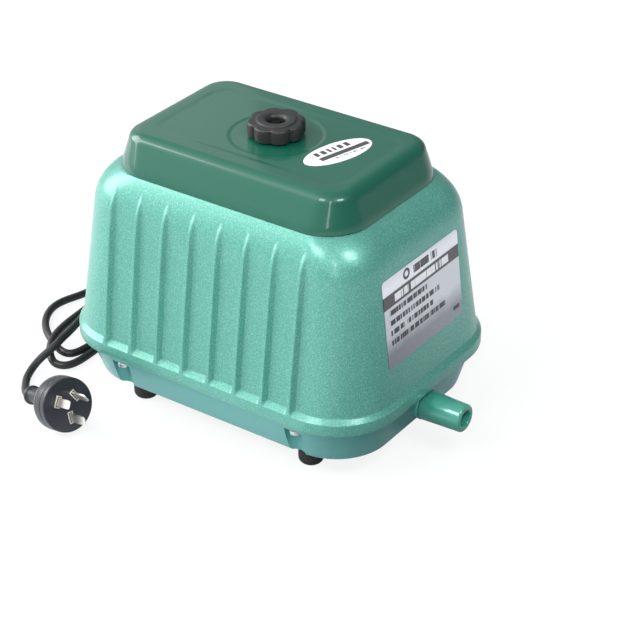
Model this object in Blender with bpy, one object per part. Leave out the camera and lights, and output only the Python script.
"""Electromagnetic linear diaphragm air pump for ponds and aquariums.

Metres, +Z up.  +X (right) points out of the air outlet, the mains cord leaves at
-X, and -Y is the front; both long sides are ribbed.  The origin is the centre of
the flat underside of the cast base; the rubber feet stand below it.  All numbers
are millimetres and are scaled on creation.
"""

import math

import bmesh
import bpy
from mathutils import Matrix, Vector

MM = 0.001
GAP = 0.3  # clearance left between neighbouring solids
SHARP_ANGLE = math.radians(35)

# Rounded rectangles are given as (half length, half width, corner radius).

# ---- base
BASE_EDGE, BASE_CHAMFER = (122.3, 84.4, 41.3), 1.0
BASE_RIM, RIM_Z = (129.0, 93.0, 45.0), 28.3
TANK, TANK_FLOOR = (112.0, 70.5, 31.0), 4.5  # air chamber in the base
LEDGE, LEDGE_Z = (118.0, 75.5, 34.0), 20.0  # seat of the chamber lid
LID_TOP = 22.8
ON_LID = LID_TOP + GAP  # underside of the parts that stand on the lid

# ---- upper casing
FLANGE = (135.0, 98.8, 49.5)
FLANGE_Z0, FLANGE_Z1 = 30.0, 38.9
WALL_Z0, WALL_Z1 = 42.2, 138.0
WALL_FOOT = (131.1, 94.2, 43.5)  # at WALL_Z0
DRAFT_X, DRAFT_Y = math.radians(6.4), math.radians(7.7)
WALL_HEAD = (  # at WALL_Z1
    WALL_FOOT[0] - (WALL_Z1 - WALL_Z0) * math.tan(DRAFT_X),
    WALL_FOOT[1] - (WALL_Z1 - WALL_Z0) * math.tan(DRAFT_Y),
    36.5,
)
WALL_T = 4.0
SEAT, SEAT_Z = (102.3, 68.7, 32.3), 164.8  # flat top, the seat of the cover

# ---- top cover
COVER_Z0, COVER_Z1 = 165.1, 191.2
COVER_BOTTOM = (102.0, 68.4, 32.0)
COVER_TOP = (92.7, 57.2, 17.0)

# ---- places shared by several parts
SCREW_X, SCREW_Y = 77.0, 87.0
NOZZLE_Z = 14.0
TAIL_R = 5.4  # the part of the outlet tube inside the wall
BOSS_X = 128.3  # face of the outlet boss
FOOT_X, FOOT_Y, FOOT_PLUG_R = 75.0, 66.0, 4.0
AXIS_Z = 92.0  # height of the armature's line of motion
HOSE_X, HOSE_Y = 86.0, 19.0
SPIGOT_R, SPIGOT_BORE_R = 6.0, 4.2
GROMMET_Y, GROMMET_Z = 20.0, 54.0

# name, sign of x, sign of y
CORNERS = (
    ("front_right", 1, -1), ("rear_right", 1, 1), ("rear_left", -1, 1), ("front_left", -1, -1),
)
SIDES = (("left", -1), ("right", 1))


# ------------------------------------------------------------------- objects
def clear_scene():
    for obj in list(bpy.data.objects):
        bpy.data.objects.remove(obj)


def material(name, colour, roughness, metallic=0.0):
    mat = bpy.data.materials.new(name)
    mat.use_nodes = True
    shader = next(n for n in mat.node_tree.nodes if n.type == "BSDF_PRINCIPLED")
    shader.inputs["Base Color"].default_value = (*colour, 1.0)
    shader.inputs["Roughness"].default_value = roughness
    shader.inputs["Metallic"].default_value = metallic
    return mat


def group(name, z):
    empty = bpy.data.objects.new(name, None)
    bpy.context.scene.collection.objects.link(empty)
    empty.location = Vector((0, 0, z)) * MM
    empty.empty_display_size = 0.01
    return empty


def add(name, bm, mat, origin=(0, 0, 0), parent=None, turn=None):
    """Make an object with the given origin and turn from a mesh in millimetres."""
    origin = Vector(origin)
    world = Matrix.Translation(origin)
    if turn is not None:
        world = world @ turn.to_4x4()
    bmesh.ops.transform(bm, matrix=world.inverted(), verts=bm.verts)
    bmesh.ops.scale(bm, vec=(MM, MM, MM), verts=bm.verts)
    bmesh.ops.recalc_face_normals(bm, faces=bm.faces)
    mesh = bpy.data.meshes.new(name)
    bm.to_mesh(mesh)
    bm.free()
    mesh.materials.append(mat)
    mesh.shade_smooth()
    mesh.set_sharp_from_angle(angle=SHARP_ANGLE)
    obj = bpy.data.objects.new(name, mesh)
    bpy.context.scene.collection.objects.link(obj)
    obj.location = origin * MM
    if turn is not None:
        obj.rotation_euler = turn.to_euler()
    if parent is not None:
        obj.parent = parent
        obj.location = origin * MM - parent.location
    return obj


def boolean(target, name, bm, operation):
    """Combine the target with a helper object that is itself not rendered."""
    helper = add(name, bm, target.data.materials[0])
    helper.hide_render = True
    helper.display_type = "WIRE"
    mod = target.modifiers.new(f"{operation.title()}_{name}", "BOOLEAN")
    mod.operation = operation
    mod.solver = "EXACT"
    mod.object = helper


def cut(target, name, bm):
    boolean(target, f"cut_{name}", bm, "DIFFERENCE")


def join(target, name, bm):
    boolean(target, f"add_{name}", bm, "UNION")


# -------------------------------------------------------------------- shapes
def inset(size, distance):
    return tuple(value - distance for value in size)


def mix(first, last, share):
    return tuple(a + (b - a) * share for a, b in zip(first, last))


def span(middle, half):
    return (middle - half, middle + half)


def rounded(half_x, half_y, radius, z, seg=5):
    """Ring of points of a rounded rectangle."""
    cx, cy = half_x - radius, half_y - radius
    points = []
    for sx, sy, start in ((1, 1, 0), (-1, 1, 90), (-1, -1, 180), (1, -1, 270)):
        for k in range(seg + 1):
            t = math.radians(start + 90 * k / seg)
            points.append(
                Vector((sx * cx + radius * math.cos(t), sy * cy + radius * math.sin(t), z))
            )
    return points


def loft(rings, closed=False):
    """Skin through rings of equal point count, capped at both ends unless closed."""
    bm = bmesh.new()
    rows = [[bm.verts.new(p) for p in ring] for ring in rings]
    pairs = list(zip(rows, rows[1:]))
    if closed:
        pairs.append((rows[-1], rows[0]))
    for low, high in pairs:
        n = len(low)
        for i in range(n):
            j = (i + 1) % n
            bm.faces.new((low[i], low[j], high[j], high[i]))
    if not closed:
        bm.faces.new(rows[0][::-1])
        bm.faces.new(rows[-1])
    return bm


def oval_ring(half_x, half_y, z, n):
    angles = [2 * math.pi * k / n for k in range(n)]
    return [Vector((half_x * math.cos(t), half_y * math.sin(t), z)) for t in angles]


def turned(profile, n=20, closed=False):
    """Solid of revolution about Z from (radius, z) points."""
    return loft([oval_ring(r, r, z, n) for r, z in profile], closed)


def moved(bm, x=0, y=0):
    bmesh.ops.translate(bm, vec=Vector((x, y, 0)), verts=bm.verts)
    return bm


def transformed(bm, matrix):
    bmesh.ops.transform(bm, matrix=matrix, verts=bm.verts)
    return bm


def along_x(bm, side=1, y=0, z=AXIS_Z):
    """Turn a shape built along +Z to lie along +X (side 1) or -X (side -1)."""
    turn = Matrix.Rotation(math.radians(90 * side), 4, "Y")
    return transformed(bm, Matrix.Translation((0, y, z)) @ turn)


def rod(radius, z0, z1, n=20, x=0, y=0):
    return moved(turned([(radius, z0), (radius, z1)], n), x, y)


def rod_x(radius, x0, x1, n, side=1, y=0, z=AXIS_Z):
    return along_x(rod(radius, x0, x1, n), side, y, z)


def tube(r_out, r_in, z0, z1, n):
    return turned([(r_out, z0), (r_out, z1), (r_in, z1), (r_in, z0)], n, closed=True)


def box(x_span, y_span, z_span):
    (x0, x1), (y0, y1) = sorted(x_span), sorted(y_span)
    return prism([(x0, y0), (x1, y0), (x1, y1), (x0, y1)], "z", *z_span)


def prism(outline, axis, low, high):
    """Extrude a flat outline along an axis ('x', 'y' or 'z')."""
    place = "xyz".index(axis)
    return loft([[Vector((*p[:place], d, *p[place:])) for p in outline] for d in (low, high)])


clear_scene()

# ----------------------------------------------------------------- materials
GREEN = material("hammer_green", colour=(0.085, 0.36, 0.27), roughness=0.35, metallic=0.2)
COVER_GREEN = material("cover_green", colour=(0.006, 0.085, 0.048), roughness=0.15)
NOZZLE_GREEN = material("nozzle_green", colour=(0.04, 0.30, 0.19), roughness=0.2)
BLACK = material("black_plastic", colour=(0.02, 0.02, 0.022), roughness=0.4)
RUBBER = material("black_rubber", colour=(0.025, 0.025, 0.027), roughness=0.75)
CORD_GREY = material("cord_pvc", colour=(0.035, 0.037, 0.04), roughness=0.45)
STEEL = material("zinc_steel", colour=(0.62, 0.62, 0.62), roughness=0.3, metallic=1.0)
CORE = material("lamination_steel", colour=(0.22, 0.22, 0.24), roughness=0.5, metallic=0.9)
COPPER = material("copper_winding", colour=(0.55, 0.24, 0.10), roughness=0.4, metallic=0.9)
MAGNET = material("ferrite_magnet", colour=(0.06, 0.06, 0.065), roughness=0.5, metallic=0.3)
ALLOY = material("cast_alloy", colour=(0.55, 0.56, 0.57), roughness=0.45, metallic=1.0)
NYLON = material("grey_nylon", colour=(0.30, 0.31, 0.32), roughness=0.5)
FOAM = material("filter_foam", colour=(0.62, 0.64, 0.62), roughness=0.95)
FOIL = material("silver_foil", colour=(0.75, 0.76, 0.77), roughness=0.25, metallic=0.6)
WHITE = material("white_vinyl", colour=(0.85, 0.85, 0.85), roughness=0.35)

BASE_GROUP = group("base_group", 0)
COVER_GROUP = group("cover_group", COVER_Z0)
ARMATURE_GROUP = group("armature_group", AXIS_Z)

# ---------------------------------------------------------------------- base
POCKET_Y, POCKET_R, POCKET_TOP = 88.5, 7.8, 21.5
OUTLET_BOSS_R, OUTLET_BOSS_X0 = 11.6, 118.6
GASKET_INNER = (119.0, 77.0, 35.0)
LID_CLEARANCE = 1.0  # from the ledge's wall
FOOT_BOTTOM, FOOT_R = -18.0, 9.2
NOZZLE_R_ROOT, NOZZLE_R_END, NOZZLE_BORE_R = 11.3, 10.3, 6.0
TAIL_X, TAIL_BORE_R, NOZZLE_END = 110.5, 4.2, 161.5
# radius, z
SCREW = [(3.2, 17.2), (4.4, 18.6), (4.4, 21.2), (2.2, 21.2), (2.2, 45.0), (1.4, 46.4)]


def build_base_tub():
    sections = [
        (TANK, TANK_FLOOR), (TANK, LEDGE_Z), (LEDGE, LEDGE_Z), (LEDGE, RIM_Z), (BASE_RIM, RIM_Z),
        (BASE_EDGE, BASE_CHAMFER), (inset(BASE_EDGE, BASE_CHAMFER), 0.0),
    ]
    base = add(
        "base_tub", loft([rounded(*size, z) for size, z in sections]), GREEN, parent=BASE_GROUP
    )
    # screw pockets, open at the side and below, each under a lug with a screw hole
    for i, (_, sx, sy) in enumerate(CORNERS):
        x = sx * SCREW_X
        cut(base, f"pocket_{i}", rod(POCKET_R, -2, POCKET_TOP, 20, x, sy * POCKET_Y))
        cut(base, f"screw_{i}", rod(2.6, 15, 34, 12, x, sy * SCREW_Y))
    # shallow ring groove in the middle of the underside
    cut(base, "gate_ring", tube(16.0, 14.0, -1.0, 0.6, 21))
    # socket for each foot
    for i, (_, sx, sy) in enumerate(CORNERS):
        cut(base, f"foot_{i}", rod(FOOT_PLUG_R + GAP, -2, 2.6, 16, sx * FOOT_X, sy * FOOT_Y))
    # short boss that squares off the sloping wall, and the outlet hole into the chamber
    join(base, "outlet_boss", rod_x(OUTLET_BOSS_R, OUTLET_BOSS_X0, BOSS_X, 28, z=NOZZLE_Z))
    cut(base, "outlet", rod_x(TAIL_R + GAP, 100, 136, 24, z=NOZZLE_Z))


def build_gasket():
    """Gasket between base and casing, with the four screws passing through it."""
    outer = inset(BASE_RIM, 0.6)
    low, high = RIM_Z + GAP, FLANGE_Z0 - GAP
    sections = [(outer, low), (outer, high), (GASKET_INNER, high), (GASKET_INNER, low)]
    bm = loft([rounded(*size, z) for size, z in sections], closed=True)
    gasket = add("base_gasket", bm, RUBBER, parent=BASE_GROUP)
    for i, (_, sx, sy) in enumerate(CORNERS):
        cut(gasket, f"gasket_{i}", rod(2.8, 26, 32, 12, sx * SCREW_X, sy * SCREW_Y))


def build_tank_lid():
    """Air chamber lid with two hose spigots."""
    size = inset(LEDGE, LID_CLEARANCE)
    bm = loft([rounded(*size, z) for z in (LEDGE_Z + GAP, LID_TOP)])
    lid = add("tank_lid", bm, ALLOY, parent=BASE_GROUP)
    for _, s in SIDES:
        join(lid, f"spigot_{s}", rod(SPIGOT_R, 21.5, 38, 16, s * HOSE_X, HOSE_Y))
    for _, s in SIDES:
        cut(lid, f"spigot_{s}", rod(SPIGOT_BORE_R, 18, 40, 16, s * HOSE_X, HOSE_Y))


def build_feet():
    """Rubber feet: a plug in the socket, a drum and a chamfered sole."""
    profile = [
        (5.6, FOOT_BOTTOM), (7.6, FOOT_BOTTOM + 1.2), (FOOT_R, FOOT_BOTTOM + 4.4),
        (FOOT_R, -GAP), (FOOT_PLUG_R, -GAP), (FOOT_PLUG_R, 2.2),
    ]
    for name, sx, sy in CORNERS:
        x, y = sx * FOOT_X, sy * FOOT_Y
        add(f"foot_{name}", moved(turned(profile), x, y), RUBBER, (x, y, 0), BASE_GROUP)


def build_nozzle():
    """Outlet tube with a shoulder against the boss and a rounded lip."""
    root = BOSS_X + GAP
    profile = [
        (TAIL_R, TAIL_X), (TAIL_R, root), (NOZZLE_R_ROOT, root), (NOZZLE_R_ROOT - 0.2, root + 4),
        (NOZZLE_R_END, NOZZLE_END - 2.0), (NOZZLE_R_END - 0.6, NOZZLE_END - 0.6),
        (NOZZLE_R_END - 1.8, NOZZLE_END), (NOZZLE_BORE_R + 1.0, NOZZLE_END),
        (NOZZLE_BORE_R, NOZZLE_END - 1.2), (NOZZLE_BORE_R, root + 5),
        (TAIL_BORE_R, root + 3), (TAIL_BORE_R, TAIL_X),
    ]
    bm = along_x(turned(profile, 24, closed=True), z=NOZZLE_Z)
    add("outlet_nozzle", bm, NOZZLE_GREEN, parent=BASE_GROUP)


def build_casing_screws():
    """Pan-head screws, up through the lugs from the pockets."""
    for name, sx, sy in CORNERS:
        x, y = sx * SCREW_X, sy * SCREW_Y
        add(f"screw_{name}", moved(turned(SCREW, 16), x, y), STEEL, (x, y, 0), BASE_GROUP)


# -------------------------------------------------------------- upper casing
WALL_STEPS, SHOULDER_STEPS = 2, 5
FLANGE_CHAMFER = 0.8
FIN_COUNT, FIN_PITCH, FIN_SHIFT = 8, 23.3, -3.0
FIN_BASE, FIN_CREST = 4.4, 1.2  # half widths
FIN_SINK = 2.0  # depth of the fin's root inside the drafted wall
FIN_FOOT_CREST = FLANGE[1] - 0.25
# upper end of a fin: z, crest beyond the wall, root below the crest, share of full width
FIN_TOP = [(141.0, 2.8, 4.8, 0.9), (149.5, 1.5, 4.4, 0.7), (157.0, -0.4, 4.0, 0.35)]
GROOVE_COUNT, GROOVE_PITCH, GROOVE_HALF, GROOVE_DEPTH = 4, 36, 9, 1.8
INTAKE_XS, INTAKE_YS, INTAKE_R = (-60, -32, 32, 60), (-20, 20), 4.5


def shoulder(half, draft, seat):
    """Centre (across, z) and radius of the arc from the drafted wall to the seat's edge."""
    across, up = half - seat, SEAT_Z - WALL_Z1
    bend = math.pi / 2 - draft - math.atan2(up, across)
    radius = math.hypot(across, up) / (2 * math.sin(bend))
    return half - radius * math.cos(draft), WALL_Z1 - radius * math.sin(draft), radius


SHOULDER_X = shoulder(WALL_HEAD[0], DRAFT_X, SEAT[0])
SHOULDER_Y = shoulder(WALL_HEAD[1], DRAFT_Y, SEAT[1])


def arc_at(arc, z, depth=0.0):
    """Half width at a height, on an arc moved inward by a depth."""
    across, centre_z, radius = arc
    return across + math.sqrt((radius - depth) ** 2 - (z - centre_z) ** 2)


def wall_y(z):
    """Outer half width of the long walls at a height."""
    if z <= WALL_Z1:
        return WALL_FOOT[1] - (z - WALL_Z0) * math.tan(DRAFT_Y)
    return arc_at(SHOULDER_Y, z)


def casing_rings(depth):
    """Rings of the drafted wall and its rounded shoulder, low to high."""
    rings = []
    for k in range(WALL_STEPS + 1):
        share = k / WALL_STEPS
        size = inset(mix(WALL_FOOT, WALL_HEAD, share), depth)
        rings.append(rounded(*size, WALL_Z0 + (WALL_Z1 - WALL_Z0) * share))
    _, centre_z, radius = SHOULDER_X
    radius -= depth
    last = math.asin((SEAT_Z - depth - centre_z) / radius)
    for k in range(1, SHOULDER_STEPS + 1):
        share = k / SHOULDER_STEPS
        z = centre_z + radius * math.sin(DRAFT_X + (last - DRAFT_X) * share)
        half_x, half_y = arc_at(SHOULDER_X, z, depth), arc_at(SHOULDER_Y, z, depth)
        corner = WALL_HEAD[2] + (SEAT[2] - WALL_HEAD[2]) * share - depth
        rings.append(rounded(half_x, half_y, corner, z))
    return rings


def fin(side, x):
    """Tapered cooling fin that runs from the flange edge up into the shoulder."""
    low = [
        (FLANGE_Z1 - 2.5, FIN_FOOT_CREST),
        (FLANGE_Z1 + 0.3, FIN_FOOT_CREST),
        (60.0, wall_y(60) + 4.6),
        (128.0, wall_y(128) + 3.9),
    ]
    stations = [(z, wall_y(z) - FIN_SINK, crest, 1.0) for z, crest in low]
    for z, rise, depth, share in FIN_TOP:
        crest = wall_y(z) + rise
        stations.append((z, crest - depth, crest, share))
    rings = []
    for z, root, crest, share in stations:
        base, tip = FIN_BASE * share, FIN_CREST * share
        corners = ((x - base, root), (x - tip, crest), (x + tip, crest), (x + base, root))
        rings.append([Vector((px, side * py, z)) for px, py in corners])
    return loft(rings)


def build_casing():
    inner = [rounded(*inset(WALL_FOOT, WALL_T), FLANGE_Z0)] + casing_rings(WALL_T)
    skirt = [
        rounded(*inset(FLANGE, FLANGE_CHAMFER), FLANGE_Z0),
        rounded(*FLANGE, FLANGE_Z0 + FLANGE_CHAMFER),
        rounded(*FLANGE, FLANGE_Z1),
    ]
    casing = add("upper_casing", loft(inner[::-1] + skirt + casing_rings(0.0)), GREEN)
    for word, side in (("front", -1), ("rear", 1)):
        for k in range(FIN_COUNT):
            x = FIN_SHIFT + FIN_PITCH * (k - (FIN_COUNT - 1) / 2)
            join(casing, f"fin_{word}_{k}", fin(side, x))
    # boss for the cover stud, screw bosses, and their holes
    join(casing, "stud_boss", rod(10.0, 148.0, 170.6, 24))
    for i, (_, sx, sy) in enumerate(CORNERS):
        boss = rod(6.6, FLANGE_Z0, 50, 16, sx * SCREW_X, sy * (SCREW_Y - 1.5))
        join(casing, f"screw_boss_{i}", boss)
    cut(casing, "stud", rod(4.3, 140, 180))
    for i, (_, sx, sy) in enumerate(CORNERS):
        cut(casing, f"boss_{i}", rod(2.5, 26, 47, 12, sx * SCREW_X, sy * SCREW_Y))
    # shallow grooves across the rear of the seat let air in under the cover
    for i in range(GROOVE_COUNT):
        x = GROOVE_PITCH * (i - (GROOVE_COUNT - 1) / 2)
        groove = box(span(x, GROOVE_HALF), (60, 80), (SEAT_Z - GROOVE_DEPTH, SEAT_Z + 5))
        cut(casing, f"groove_{i}", groove)
    # air intake holes through the seat
    for i, (x, y) in enumerate((x, y) for x in INTAKE_XS for y in INTAKE_YS):
        cut(casing, f"intake_{i}", rod(INTAKE_R, 150, 172, 12, x, y))
    cut(casing, "cord", rod_x(7.0, 120, 140, 20, -1, GROMMET_Y, GROMMET_Z))


# ----------------------------------------------------------------- top cover
COVER_T = 3.2
COVER_EDGE_R, COVER_EDGE_STEPS = 9.0, 5
EDGE_R_INSET = 0.8  # loss of edge radius per unit of inset
CORNER_LOSS = 0.75  # loss of corner radius over the edge, per unit of edge radius
PAD_Z = 166.2
WASHER_Z = COVER_Z1 + GAP
KNOB_R, KNOB_Z0, KNOB_Z1 = 20.5, 192.0, 202.2
KNOB_LOBES, LOBE_STEPS = 8, 6
LOBE_DEPTH, LOBE_POWER = 3.0, 0.55  # a power below 1 broadens the lobes
# radius, z
KNOB_RING = [(14.0, 200), (14.0, 202.6), (13.4, 203.1), (9.2, 203.1), (8.4, 202.6), (8.4, 200)]


def cover_rings(depth):
    """Rings of the sloping side and the rounded top edge, low to high."""
    height = COVER_Z1 - COVER_Z0
    slope_x = math.atan2(COVER_BOTTOM[0] - COVER_TOP[0], height)
    slope_y = math.atan2(COVER_BOTTOM[1] - COVER_TOP[1], height)
    top = COVER_Z1 - depth
    radius = COVER_EDGE_R - depth * EDGE_R_INSET

    def size_at(z):
        a, b, corner = mix(COVER_BOTTOM, COVER_TOP, (z - COVER_Z0) / height)
        return a - depth / math.cos(slope_x), b - depth / math.cos(slope_y), corner - depth

    # the edge arc is tangent to the sloping side and to the flat top
    tangent_z = top - radius * (1 - math.sin(slope_y))
    rings = [rounded(*size_at(z), z) for z in (COVER_Z0, (COVER_Z0 + tangent_z) / 2)]
    half_x, half_y, corner = size_at(tangent_z)
    for k in range(COVER_EDGE_STEPS + 1):
        share = k / COVER_EDGE_STEPS
        angle_x = slope_x + (math.pi / 2 - slope_x) * share
        angle_y = slope_y + (math.pi / 2 - slope_y) * share
        rings.append(
            rounded(
                half_x - radius * (math.cos(slope_x) - math.cos(angle_x)),
                half_y - radius * (math.cos(slope_y) - math.cos(angle_y)),
                corner - radius * CORNER_LOSS * share,
                top - radius + radius * math.sin(angle_y),
            )
        )
    return rings


def build_cover():
    bm = loft(cover_rings(COVER_T)[::-1] + cover_rings(0.0))
    cover = add("top_cover", bm, COVER_GREEN, (0, 0, COVER_Z0), COVER_GROUP)
    join(cover, "cover_boss", rod(9.0, 171.4, 189.5, 24))
    cut(cover, "cover_hole", rod(4.6, 168, 194))


def build_filter_pad():
    bm = loft([rounded(88.0, 53.0, 14.0, PAD_Z, 3), rounded(86.0, 51.0, 13.0, 181.8, 3)])
    pad = add("filter_pad", bm, FOAM, (0, 0, PAD_Z))
    cut(pad, "pad", rod(11.5, 160, 190))


def build_stud_and_washer():
    add("cover_stud", rod(4.0, 150.0, 201.0, 16), STEEL)
    washer = tube(8.5, 4.5, WASHER_Z, WASHER_Z + 1.2, 24)
    add("knob_washer", washer, STEEL, (0, 0, WASHER_Z), COVER_GROUP)


def lobed(radius, z):
    """Ring of the scalloped knob."""
    points = []
    n = KNOB_LOBES * LOBE_STEPS
    for k in range(n):
        t = 2 * math.pi * k / n
        wave = 0.5 + 0.5 * math.cos(KNOB_LOBES * t)
        r = radius - LOBE_DEPTH * (1 - wave**LOBE_POWER)
        points.append(Vector((r * math.cos(t), r * math.sin(t), z)))
    return points


def build_knob():
    sections = [
        (KNOB_R - 0.8, KNOB_Z0), (KNOB_R, KNOB_Z0 + 0.8), (KNOB_R, KNOB_Z1 - 1.6),
        (KNOB_R - 0.6, KNOB_Z1 - 0.5), (KNOB_R - 1.8, KNOB_Z1),
    ]
    bm = loft([lobed(radius, z) for radius, z in sections])
    knob = add("knob", bm, BLACK, (0, 0, KNOB_Z0), COVER_GROUP)
    join(knob, "knob_ring", turned(KNOB_RING, 32, closed=True))
    # recess for the washer, bore for the stud, and socket in the top
    cut(knob, "knob_seat", rod(8.9, 190, 193.05, 24))
    cut(knob, "knob_thread", rod(4.35, 188, 201.2))
    cut(knob, "knob_socket", rod(6.4, 197.5, 206, 24))


# --------------------------------------------------------------------- motor
MOUNT_X, MOUNT_Y = 44, 34
FRAME_Z0, FRAME_HALF_Y = 44, 42
# radius, z
MOUNT = [(8, ON_LID), (8, 27), (6.4, 30), (6.4, 37), (8, 40), (8, FRAME_Z0 - GAP)]
# x, z of the U-shaped frame
FRAME_OUTLINE = [
    (-54, FRAME_Z0), (54, FRAME_Z0), (54, 134), (50, 134),
    (50, 47), (-50, 47), (-50, 134), (-54, 134),
]
# x and distance from the armature's mid plane of the E-shaped lamination stack
CORE_OUTLINE = [
    (-36, 44), (36, 44), (36, 9), (24, 9), (24, 34), (8, 34),
    (8, 9), (-8, 9), (-8, 34), (-24, 34), (-24, 9), (-36, 9),
]
CORE_HALF_Z = 22
# half x, half z, corner radius, distance from the armature's mid plane
COIL_SECTIONS = [
    (22.8, 36.0, 9.0, 10.5), (23.4, 36.6, 9.6, 12.0), (23.4, 36.6, 9.6, 31.5),
    (22.8, 36.0, 9.0, 33.4), (8.6, 22.6, 2.0, 33.4), (8.6, 22.6, 2.0, 10.5),
]
BAR_HALF_X, BAR_HALF_Y, BAR_HALF_Z = 42, 4, 24
MAGNET_X, MAGNET_HALF_Y, MAGNET_HALF_Z = 18, 6, 18
MAGNET_POCKET_HALF_X = 10

# distances from the centre along X, outward
SEAT_END = 59.0  # face of the frame's seat ring
PLATE_T = 2.0
DIAPHRAGM_X0 = SEAT_END + GAP
DIAPHRAGM_X1 = DIAPHRAGM_X0 + 2.0
VALVE_X0, VALVE_X1 = DIAPHRAGM_X1 + GAP, 76.0
NUT_X0 = VALVE_X0 + PLATE_T + GAP
CHAMBER_END = 70.8
HEAD_X0, HEAD_X1 = VALVE_X1 + GAP, 97.0


def build_mounts():
    """Rubber mounts between the chamber lid and the motor frame."""
    for name, sx, sy in CORNERS:
        x, y = sx * MOUNT_X, sy * MOUNT_Y
        add(f"mount_{name}", moved(turned(MOUNT), x, y), RUBBER, (x, y, ON_LID), BASE_GROUP)


def build_frame():
    """U-shaped frame with a seat ring for each diaphragm and a pad under each core."""
    frame = add("motor_frame", prism(FRAME_OUTLINE, "y", -FRAME_HALF_Y, FRAME_HALF_Y), ALLOY)
    for _, s in SIDES:
        join(frame, f"seat_{s}", rod_x(37, 52, SEAT_END, 32, s))
        # the pads stand to the front (-1) and rear (1)
        pad = box((-36, 36), (s * 34.0, s * 41.5), (46, AXIS_Z - CORE_HALF_Z - GAP))
        join(frame, f"pad_{s}", pad)
    for _, s in SIDES:
        cut(frame, f"seat_{s}", rod_x(29.5, 54, 64, 32, s))
    cut(frame, "frame", rod_x(16, -70, 70, 24))


def build_core_and_coil(word, s):
    outline = [(x, s * y) for x, y in CORE_OUTLINE]
    add(f"core_{word}", prism(outline, "z", *span(AXIS_Z, CORE_HALF_Z)), CORE)
    coil = loft([rounded(*section, 4) for section in COIL_SECTIONS], closed=True)
    turn = Matrix.Rotation(math.radians(-90 * s), 4, "X")
    add(f"coil_{word}", transformed(coil, Matrix.Translation((0, 0, AXIS_Z)) @ turn), COPPER)


def build_bar():
    """Carrier bar of the armature, which moves along X."""
    bm = box(span(0, BAR_HALF_X), span(0, BAR_HALF_Y), span(AXIS_Z, BAR_HALF_Z))
    return add("armature_bar", bm, NYLON, (0, 0, AXIS_Z), ARMATURE_GROUP)


def build_magnet(bar, word, s):
    x, y_span = s * MAGNET_X, span(0, MAGNET_HALF_Y)
    pocket = box(span(x, MAGNET_POCKET_HALF_X), y_span, span(AXIS_Z, MAGNET_HALF_Z + GAP))
    cut(bar, f"magnet_{word}", pocket)
    magnet = box(span(x, MAGNET_POCKET_HALF_X - GAP), y_span, span(AXIS_Z, MAGNET_HALF_Z))
    add(f"magnet_{word}", magnet, MAGNET, (x, 0, AXIS_Z), ARMATURE_GROUP)


def build_shaft_parts(word, s):
    """Shaft, the plates either side of the diaphragm, and the nut."""
    shaft_x0, inner_x0 = BAR_HALF_X + GAP, SEAT_END - PLATE_T
    nut = [(4.7, NUT_X0), (4.7, NUT_X0 + 4), (3.25, NUT_X0 + 4), (3.25, NUT_X0)]
    for name, bm, mat, x0 in (
        ("shaft", rod(2.5, shaft_x0, 68.4, 12), STEEL, shaft_x0),
        ("inner_plate", tube(15.0, 2.8, inner_x0, SEAT_END, 24), ALLOY, inner_x0),
        ("outer_plate", tube(17.0, 2.8, VALVE_X0, VALVE_X0 + PLATE_T, 24), ALLOY, VALVE_X0),
        ("nut", turned(nut, 6, closed=True), STEEL, NUT_X0),
    ):
        add(f"{name}_{word}", along_x(bm, s), mat, (s * x0, 0, AXIS_Z), ARMATURE_GROUP)


def build_diaphragm(word, s):
    """Rubber diaphragm: flat centre, one rolled convolution, flat clamped rim."""
    hole, flat, roll_end, rim = 3.2, 18.0, 29.0, 36.0  # radii
    middle, half_roll = (flat + roll_end) / 2, (roll_end - flat) / 2
    low, high = DIAPHRAGM_X0, DIAPHRAGM_X1
    arc = [math.pi * k / 4 for k in range(1, 4)]
    profile = [(hole, low), (flat, low)]
    profile += [(middle - half_roll * math.cos(t), low - 3.6 * math.sin(t)) for t in arc]
    profile += [(roll_end, low), (rim, low), (rim, high), (roll_end, high)]
    profile += [(middle + 3.6 * math.cos(t), high - 3.4 * math.sin(t)) for t in arc]
    profile += [(flat, high), (hole, high)]
    add(f"diaphragm_{word}", along_x(turned(profile, 20, closed=True), s), RUBBER)


# --------------------------------------------------------- valves and heads
HEAD_HALF = 38  # half width and half height of valve plate and head cover
PORT_Y = HOSE_Y - 3
FLAP_T, HINGE_RISE = 1.3, 9.0
# y and z of a flap from the centre of its port
FLAP_OUTLINE = [
    (-7.5, HINGE_RISE), (-7.5, -6.0), (-4.5, -8.5), (4.5, -8.5), (7.5, -6.0), (7.5, HINGE_RISE),
]
BREATHER_PITCH = 18
# radius, z of the bellows-shaped hose; its bore clears the spigots
HOSE = [
    (8.4, 26), (9.6, 28), (9.6, 36), (8.6, 38), (8.6, 41), (9.6, 43), (9.6, 51), (8.4, 53),
    (SPIGOT_R + GAP, 53), (SPIGOT_R + GAP, 26),
]


def build_valve_body(word, s):
    """Valve plate with the pumping chamber and two ports."""
    across = span(0, HEAD_HALF)
    bm = box((s * VALVE_X0, s * VALVE_X1), across, span(AXIS_Z, HEAD_HALF))
    valve = add(f"valve_body_{word}", bm, NYLON)
    cut(valve, f"chamber_{word}", rod_x(29.0, 50, CHAMBER_END, 32, s))
    for port, y in (("in", -PORT_Y), ("out", PORT_Y)):
        cut(valve, f"port_{port}_{word}", rod_x(5.5, 60, 80, 16, s, y))


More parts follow.
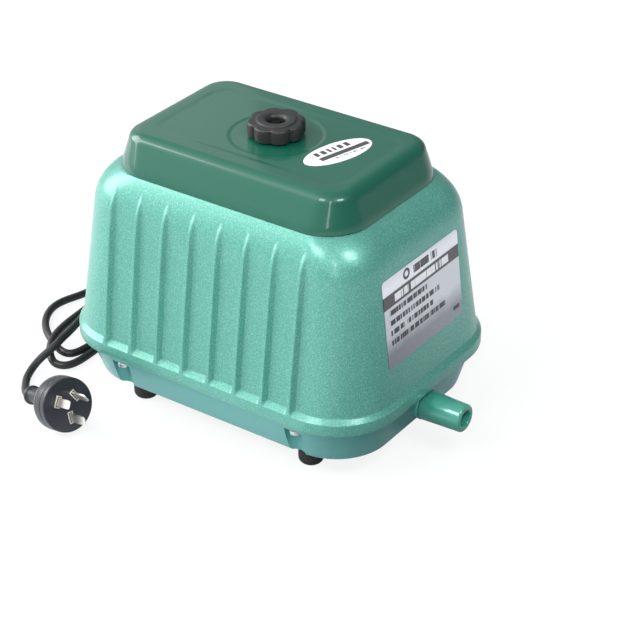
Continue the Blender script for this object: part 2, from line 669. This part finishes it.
def build_flaps(word, s):
    """Rubber leaf over each port, hinged along its upper edge."""
    intake_x0 = CHAMBER_END - GAP - FLAP_T
    for port, y, x0 in (("intake", -PORT_Y, intake_x0), ("exhaust", PORT_Y, HEAD_X0)):
        outline = [(y + p, AXIS_Z + q) for p, q in FLAP_OUTLINE]
        leaf = prism(outline, "x", s * x0, s * (x0 + FLAP_T))
        hinge = (s * (x0 + FLAP_T / 2), y, AXIS_Z + HINGE_RISE)
        add(f"{port}_flap_{word}", leaf, RUBBER, hinge)


def build_head_cover(word, s):
    """Head cover: intake and exhaust spaces side by side, spigot below."""
    x = s * HOSE_X
    bm = box((s * HEAD_X0, s * HEAD_X1), span(0, HEAD_HALF), span(AXIS_Z, HEAD_HALF))
    head = add(f"head_cover_{word}", bm, NYLON)
    join(head, f"head_spigot_{word}", rod(SPIGOT_R, 40, 56, 16, x, HOSE_Y))
    for space, y_span in (("in", (-34, -3)), ("out", (3, 34))):
        cut(head, f"space_{space}_{word}", box((s * 70, s * 93), y_span, span(AXIS_Z, 33)))
    cut(head, f"head_spigot_{word}", rod(SPIGOT_BORE_R, 36, 64, 16, x, HOSE_Y))
    # slots through the outer wall into the intake space
    for k in range(3):
        z_span = span(AXIS_Z + BREATHER_PITCH * (k - 1), 3)
        cut(head, f"breather_{word}_{k}", box((s * 90, s * 100), (-28, -9), z_span))


def build_hose(word, s):
    x, bm = s * HOSE_X, turned(HOSE, 20, closed=True)
    add(f"air_hose_{word}", moved(bm, x, HOSE_Y), RUBBER, (x, HOSE_Y, HOSE[0][1]))


# ---------------------------------------------------------------- electrical
# radius, distance from the centre towards -X
GROMMET = [
    (3.7, 121.5), (3.7, 138.5), (5.4, 138.5), (6.2, 134.8), (9.6, 134.2),
    (9.6, 131.7), (6.6, 131.7), (6.6, 124.4), (9.2, 124.4), (9.2, 121.5),
]
CORD_R = 3.0
LAY = FOOT_BOTTOM + CORD_R + 0.05  # centre height of a cable lying on the floor
OVER = LAY + 7.0  # crossing above one cable
HIGH = LAY + 14.2  # crossing above two
RUN_SHIFT_X, RUN_SHIFT_Y = -3.5, 5.0  # shift of the level runs as a whole

PLUG_FACE = Vector((-88.2, -137.4, 6.0))
PLUG_TILT, PLUG_YAW = math.radians(18.5), math.radians(74)
PLUG_OUT = Vector(
    (
        math.cos(PLUG_TILT) * math.sin(PLUG_YAW),
        -math.cos(PLUG_TILT) * math.cos(PLUG_YAW),
        math.sin(PLUG_TILT),
    )
)  # out of the pin face
PLUG_TURN = PLUG_OUT.to_track_quat("Z", "Y").to_matrix()
NECK = 55.0
# radius, distance out of the pin face
PLUG = [
    (4.6, -NECK), (6.8, -54.2), (7.2, -52.5), (6.2, -51.0), (5.6, -49.0), (5.9, -32.0),
    (7.0, -27.0), (10.6, -24.0), (16.0, -20.5), (18.8, -17.0), (20.0, -14.0), (20.2, -12.0),
    (20.2, -1.2), (19.3, 0.0),
]
# name, place in the face's own X and Y, lean in degrees, length
PINS = (
    ("pin_active", (-7.2, 5.0), -30.0, 17.1),
    ("pin_neutral", (7.2, 5.0), 30.0, 17.1),
    ("pin_earth", (0.0, -9.6), 0.0, 20.0),
)


def build_terminal_block():
    terminal = add("terminal_block", box((-112, -98), (-34, 6), (ON_LID, 38)), BLACK)
    for k in range(4):
        cut(terminal, f"terminal_{k}", rod(2.6, 30, 42, 12, -105, -29 + 10 * k))


def build_grommet():
    bm = along_x(turned(GROMMET, 20, closed=True), -1, GROMMET_Y, GROMMET_Z)
    add("cord_grommet", bm, RUBBER)


def level_run(z, *points):
    return [(x + RUN_SHIFT_X, y + RUN_SHIFT_Y, z) for x, y in points]


# control points (x, y, z): the cord leaves the end wall, drops to the floor, lies in
# two loose turns that cross over one another, and runs to the plug
CORD = [
    *[(x, GROMMET_Y, GROMMET_Z) for x in (-116, -128, -141)],
    (-156, 21, 51), (-172, 26, 40), (-186, 35, 17), (-194, 40, -5),
    # first turn, flat on the floor, then climbing over its own start
    *level_run(
        LAY,
        (-198, 30), (-202, 20), (-204, 8), (-209, -4), (-211, -17), (-206, -31), (-198, -42),
        (-188, -51), (-176, -58), (-163, -65), (-153, -66), (-149, -59), (-148, -48),
        (-148, -36), (-150, -20),
    ),
    (-157.5, 3, LAY + 2), (-163.5, 19, LAY + 5),
    *level_run(
        OVER, (-170, 20), (-179, 12), (-180, -2), (-178, -20), (-177, -38), (-174, -54)
    ),
    # second turn, back down on the floor
    (-173.5, -61, OVER - 1), (-167.5, -70, LAY + 3),
    *level_run(
        LAY,
        (-157, -80), (-150, -82), (-143, -79), (-140, -70), (-140, -57), (-141, -40),
        (-142, -20), (-143, 0), (-145, 16),
    ),
    (-154.5, 37, LAY + 4), (-165.5, 45, LAY + 10),
    # last run, on top of both, down to the plug's neck
    *level_run(
        HIGH,
        (-173, 34), (-177, 18), (-174, -2), (-168, -22), (-163, -40), (-159, -54), (-157, -66),
    ),
    (-160.5, -71, HIGH - 3), (-163.5, -79, LAY + 7), (-165.5, -87, LAY + 3),
    *level_run(LAY, (-161, -100), (-157, -109), (-150, -118)),
    *[tuple(PLUG_FACE - PLUG_OUT * d) for d in (NECK + 9, NECK + 3, NECK - 3)],
]


def build_cord():
    curve = bpy.data.curves.new("power_cord", "CURVE")
    curve.dimensions = "3D"
    curve.bevel_depth = CORD_R * MM
    curve.bevel_resolution = 1
    curve.resolution_u = 1
    curve.use_fill_caps = True
    spline = curve.splines.new("NURBS")
    spline.points.add(len(CORD) - 1)
    for point, place in zip(spline.points, CORD):
        point.co = (*[c * MM for c in place], 1.0)
    spline.order_u = 4
    spline.use_endpoint_u = True
    curve.materials.append(CORD_GREY)
    obj = bpy.data.objects.new("power_cord", curve)
    bpy.context.scene.collection.objects.link(obj)


def in_plug(bm):
    """Take a shape from the pin face's own frame to its place."""
    return transformed(bm, Matrix.Translation(PLUG_FACE) @ PLUG_TURN.to_4x4())


def build_plug():
    """Moulded round body and collared neck in one piece, with three flat pins."""
    plug = add("plug_body", in_plug(turned(PLUG, 24)), BLACK, PLUG_FACE, turn=PLUG_TURN)
    for name, (x, y), lean, length in PINS:
        place = Matrix.Translation((x, y, 0)) @ Matrix.Rotation(math.radians(lean), 4, "Z")
        slot = box(span(0, 1.15), span(0, 3.5), (-6.0, 2.0))
        cut(plug, name, in_plug(transformed(slot, place)))
        blade = box(span(0, 0.8), span(0, 3.15), (-5.6, length))
        add(name, in_plug(transformed(blade, place)), STEEL, PLUG_FACE, turn=PLUG_TURN)
    cut(plug, "plug_cord", in_plug(rod(CORD_R + 0.6, -60, -NECK + 4.5, 16)))


# -------------------------------------------------------------------- labels
LABEL, LABEL_T = (47.3, 33.2, 3.0), 0.5
LABEL_Y, LABEL_Z = -1.5, 100.4
LABEL_OFFSET = 0.32  # from the outer face of the wall
STICKER_X, STICKER_Y, STICKER_ANGLE = 51.0, 1.5, math.radians(-15)
STICKER_Z = COVER_Z1 + GAP


def build_rating_label():
    """Foil label on the right-hand end wall, leaning with its draft."""
    bm = loft([[Vector((p.z, p.x, p.y)) for p in rounded(*LABEL, z, 4)] for z in (0, LABEL_T)])
    x = WALL_FOOT[0] - (LABEL_Z - WALL_Z0) * math.tan(DRAFT_X) + LABEL_OFFSET
    origin = (x, LABEL_Y, LABEL_Z)
    tilt = Matrix.Rotation(-DRAFT_X, 4, "Y")
    add("rating_label", transformed(bm, Matrix.Translation(origin) @ tilt), FOIL, origin)


def build_oval_sticker():
    bm = loft([oval_ring(13.0, 29.0, z, 28) for z in (STICKER_Z, STICKER_Z + 0.4)])
    place = Matrix.Translation((STICKER_X, STICKER_Y, 0))
    bm = transformed(bm, place @ Matrix.Rotation(STICKER_ANGLE, 4, "Z"))
    add("oval_sticker", bm, WHITE, (STICKER_X, STICKER_Y, STICKER_Z), COVER_GROUP)


# ------------------------------------------------------------------ assembly
build_base_tub()
build_gasket()
build_tank_lid()
build_feet()
build_nozzle()
build_casing()
build_casing_screws()
build_cover()
build_filter_pad()
build_stud_and_washer()
build_knob()
build_mounts()
build_frame()
build_core_and_coil("front", -1)
build_core_and_coil("rear", 1)
armature_bar = build_bar()
for side_name, side_sign in SIDES:
    build_magnet(armature_bar, side_name, side_sign)
    build_shaft_parts(side_name, side_sign)
    build_diaphragm(side_name, side_sign)
    build_valve_body(side_name, side_sign)
    build_flaps(side_name, side_sign)
    build_head_cover(side_name, side_sign)
    build_hose(side_name, side_sign)
build_terminal_block()
build_grommet()
build_cord()
build_plug()
build_rating_label()
build_oval_sticker()
